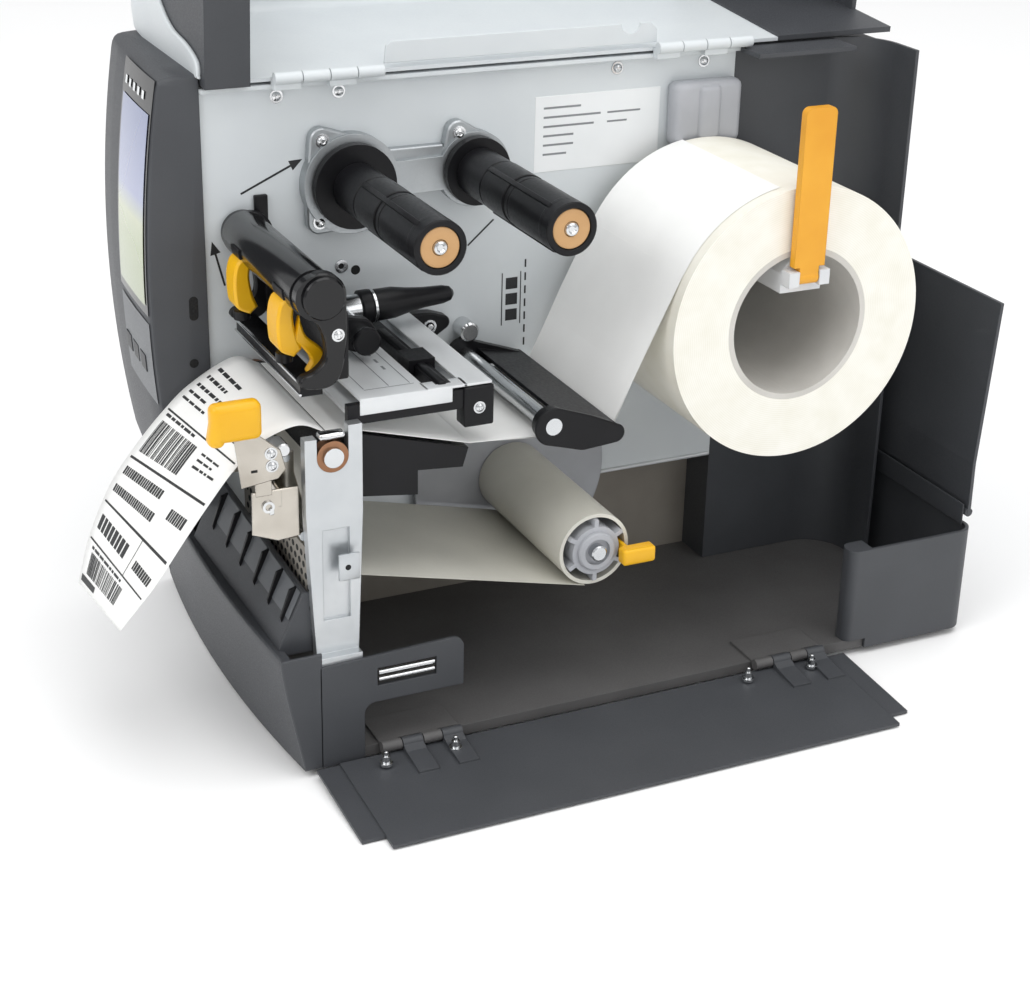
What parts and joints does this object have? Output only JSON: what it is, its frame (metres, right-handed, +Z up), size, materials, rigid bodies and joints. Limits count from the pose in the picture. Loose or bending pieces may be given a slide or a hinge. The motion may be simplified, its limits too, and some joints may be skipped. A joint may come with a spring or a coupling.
{
  "type": "thermal label printer",
  "caption": "Desktop thermal-transfer label printer with opened media door, loaded label roll, raised print head, ribbon spindles, liner take-up and hinged lower flap",
  "frame": {"origin": "on the desk plane, under the middle of the closed printer's footprint", "axes": "+X towards the media side that opens, -Y towards the front where labels come out, +Z up"},
  "size_m": [0.317, 0.494, 0.5756],
  "materials": {
    "light_paint": "pale grey powder coat",
    "charcoal_plastic": "fine-textured charcoal moulding",
    "black_plastic": "black moulding",
    "key_plastic": "dark soft-touch keys",
    "yellow_plastic": "yellow touch-point moulding",
    "grey_plastic": "pale grey moulding",
    "zinc_steel": "zinc-plated sheet",
    "shaft_steel": "ground steel",
    "bronze": "sintered bronze bush",
    "cast_alloy": "die-cast aluminium",
    "platen_rubber": "black platen rubber",
    "foot_rubber": "black rubber",
    "screen_glass": "dark glossy display lens",
    "clear_pane": "clear polycarbonate",
    "label_paper": "white label paper",
    "liner_paper": "glassine liner",
    "core_board": "spiral-wound board",
    "circuit_board": "green laminate",
    "belt_rubber": "timing belt"
  },
  "bodies": {
    "chassis": {"base_pan": "charcoal_plastic", "rubber_feet": "foot_rubber", "front_bezel": "charcoal_plastic", "ribbed_plate": "charcoal_plastic", "front_side_plate": "charcoal_plastic", "rear_corner_box": "charcoal_plastic", "centre_wall": "light_paint", "lower_wall_panel": "zinc_steel", "rear_cover": "charcoal_plastic", "electronics_cover": "light_paint", "rear_port_panel": "charcoal_plastic", "control_housing": "charcoal_plastic", "touch_screen": "screen_glass", "ribbon_casting": "cast_alloy", "side_bracket": "zinc_steel", "platen_bearings": "bronze", "media_tray": "zinc_steel", "tray_rail": "black_plastic", "media_guide": "charcoal_plastic", "guide_shafts": "shaft_steel", "media_hanger": "grey_plastic", "label_web": "label_paper", "printed_label": "label_paper", "liner_web": "liner_paper", "main_board": "circuit_board", "power_supply": "zinc_steel", "drive_motor": "black_plastic", "drive_belt": "belt_rubber"},
    "media_door": {"door_panel": "light_paint", "door_front_cap": "charcoal_plastic", "door_rear_cap": "charcoal_plastic", "door_window": "clear_pane"},
    "lower_flap": {"lower_flap": "charcoal_plastic"},
    "rear_flap": {"rear_flap": "charcoal_plastic"},
    "print_head": {"head_carrier": "black_plastic", "head_crossbar": "black_plastic", "print_head_strip": "shaft_steel"},
    "near_toggle": {"near_toggle": "yellow_plastic"},
    "far_toggle": {"far_toggle": "yellow_plastic"},
    "head_lever": {"head_lever": "black_plastic"},
    "take_up_spindle": {"take_up_spindle": "black_plastic"},
    "supply_spindle": {"supply_spindle": "black_plastic"},
    "platen": {"platen_roller": "platen_rubber", "platen_shaft": "shaft_steel"},
    "motor_pulley": {"motor_pulley": "cast_alloy"},
    "roll": {"label_roll": "label_paper", "roll_core": "core_board"},
    "liner_take_up": {"liner_spindle": "grey_plastic", "liner_wrap": "liner_paper"},
    "liner_hook": {"liner_hook": "yellow_plastic"},
    "dancer": {"dancer_arm": "black_plastic"},
    "peel": {"peel_frame": "zinc_steel", "peel_tab": "yellow_plastic"},
    "peel_roller": {"peel_roller": "black_plastic"},
    "roll_guide": {"roll_guide_flap": "yellow_plastic"},
    "sensor_slider": {"sensor_slider": "black_plastic"},
    "right_key": {"right_key": "key_plastic"},
    "middle_key": {"middle_key": "key_plastic"},
    "left_key": {"left_key": "key_plastic"},
    "power_switch": {"power_switch": "black_plastic"}
  },
  "joints": [
    {"name": "door_hinge", "type": "hinge", "parent": "chassis", "child": "media_door", "pos_m": [0.0045, 0, 0.326], "axis": [0, 1, 0], "range_deg": [0, 175]},
    {"name": "lower_flap_hinge", "type": "hinge", "parent": "chassis", "child": "lower_flap", "pos_m": [0.1225, 0, 0.01], "axis": [0, -1, 0], "range_deg": [0, 93]},
    {"name": "rear_flap_hinge", "type": "hinge", "parent": "chassis", "child": "rear_flap", "pos_m": [0.056, 0.22, 0.0735], "axis": [-1, 0, 0], "range_deg": [0, 95]},
    {"name": "lever_turn", "type": "hinge", "parent": "chassis", "child": "head_lever", "pos_m": [0.019, -0.125, 0.206], "axis": [1, 0, 0], "range_deg": [0, 55]},
    {"name": "head_pivot", "type": "hinge", "parent": "chassis", "child": "print_head", "pos_m": [0.05, -0.125, 0.206], "axis": [1, 0, 0], "range_deg": [0, 16.5]},
    {"name": "near_toggle_slide", "type": "slide", "parent": "print_head", "child": "near_toggle", "axis": [1, 0, 0], "range_m": [-0.04, 0.006]},
    {"name": "far_toggle_slide", "type": "slide", "parent": "print_head", "child": "far_toggle", "axis": [1, 0, 0], "range_m": [-0.006, 0.03]},
    {"name": "take_up_turn", "type": "hinge", "parent": "chassis", "child": "take_up_spindle", "pos_m": [0.06, -0.109, 0.2685], "axis": [1, 0, 0], "continuous": true},
    {"name": "supply_turn", "type": "hinge", "parent": "chassis", "child": "supply_spindle", "pos_m": [0.06, -0.041, 0.27], "axis": [1, 0, 0], "continuous": true},
    {"name": "platen_turn", "type": "hinge", "parent": "chassis", "child": "platen", "pos_m": [0.05, -0.162, 0.17], "axis": [1, 0, 0], "continuous": true},
    {"name": "motor_turn", "type": "hinge", "parent": "chassis", "child": "motor_pulley", "pos_m": [-0.06, -0.118, 0.13], "axis": [1, 0, 0], "continuous": true},
    {"name": "roll_turn", "type": "hinge", "parent": "chassis", "child": "roll", "pos_m": [0.06, 0.094, 0.203], "axis": [1, 0, 0], "continuous": true},
    {"name": "liner_turn", "type": "hinge", "parent": "chassis", "child": "liner_take_up", "pos_m": [0.05, -0.016, 0.091], "axis": [1, 0, 0], "continuous": true},
    {"name": "hook_pull", "type": "slide", "parent": "liner_take_up", "child": "liner_hook", "axis": [-1, 0, 0], "range_m": [-0.1, 0]},
    {"name": "dancer_turn", "type": "hinge", "parent": "chassis", "child": "dancer", "pos_m": [0.06, -0.046, 0.168], "axis": [1, 0, 0], "range_deg": [0, 22], "stiffness_Nm_per_rad": 0.4},
    {"name": "peel_swing", "type": "hinge", "parent": "chassis", "child": "peel", "pos_m": [0.05, -0.175, 0.128], "axis": [1, 0, 0], "range_deg": [0, 38]},
    {"name": "peel_roller_turn", "type": "hinge", "parent": "peel", "child": "peel_roller", "pos_m": [0.05, -0.18, 0.166], "axis": [1, 0, 0], "continuous": true},
    {"name": "roll_guide_fold", "type": "hinge", "parent": "chassis", "child": "roll_guide", "pos_m": [0.1164, 0.094, 0.23], "axis": [0, -1, 0], "range_deg": [-88, 0]},
    {"name": "sensor_shift", "type": "slide", "parent": "chassis", "child": "sensor_slider", "axis": [1, 0, 0], "range_m": [-0.05, 0.01]},
    {"name": "right_key_press", "type": "slide", "parent": "chassis", "child": "right_key", "axis": [0, 1, 0], "range_m": [0, 0.0012], "stiffness_N_per_m": 400},
    {"name": "middle_key_press", "type": "slide", "parent": "chassis", "child": "middle_key", "axis": [0, 1, 0], "range_m": [0, 0.0012], "stiffness_N_per_m": 400},
    {"name": "left_key_press", "type": "slide", "parent": "chassis", "child": "left_key", "axis": [0, 1, 0], "range_m": [0, 0.0012], "stiffness_N_per_m": 400},
    {"name": "switch_rock", "type": "hinge", "parent": "chassis", "child": "power_switch", "pos_m": [-0.062, 0.21175, 0.086], "axis": [1, 0, 0], "range_deg": [0, 12]}
  ],
  "couplings": [
    {"joint": "head_pivot", "follows": "lever_turn", "ratio": 0.3},
    {"joint": "motor_turn", "follows": "platen_turn", "ratio": 2}
  ]
}
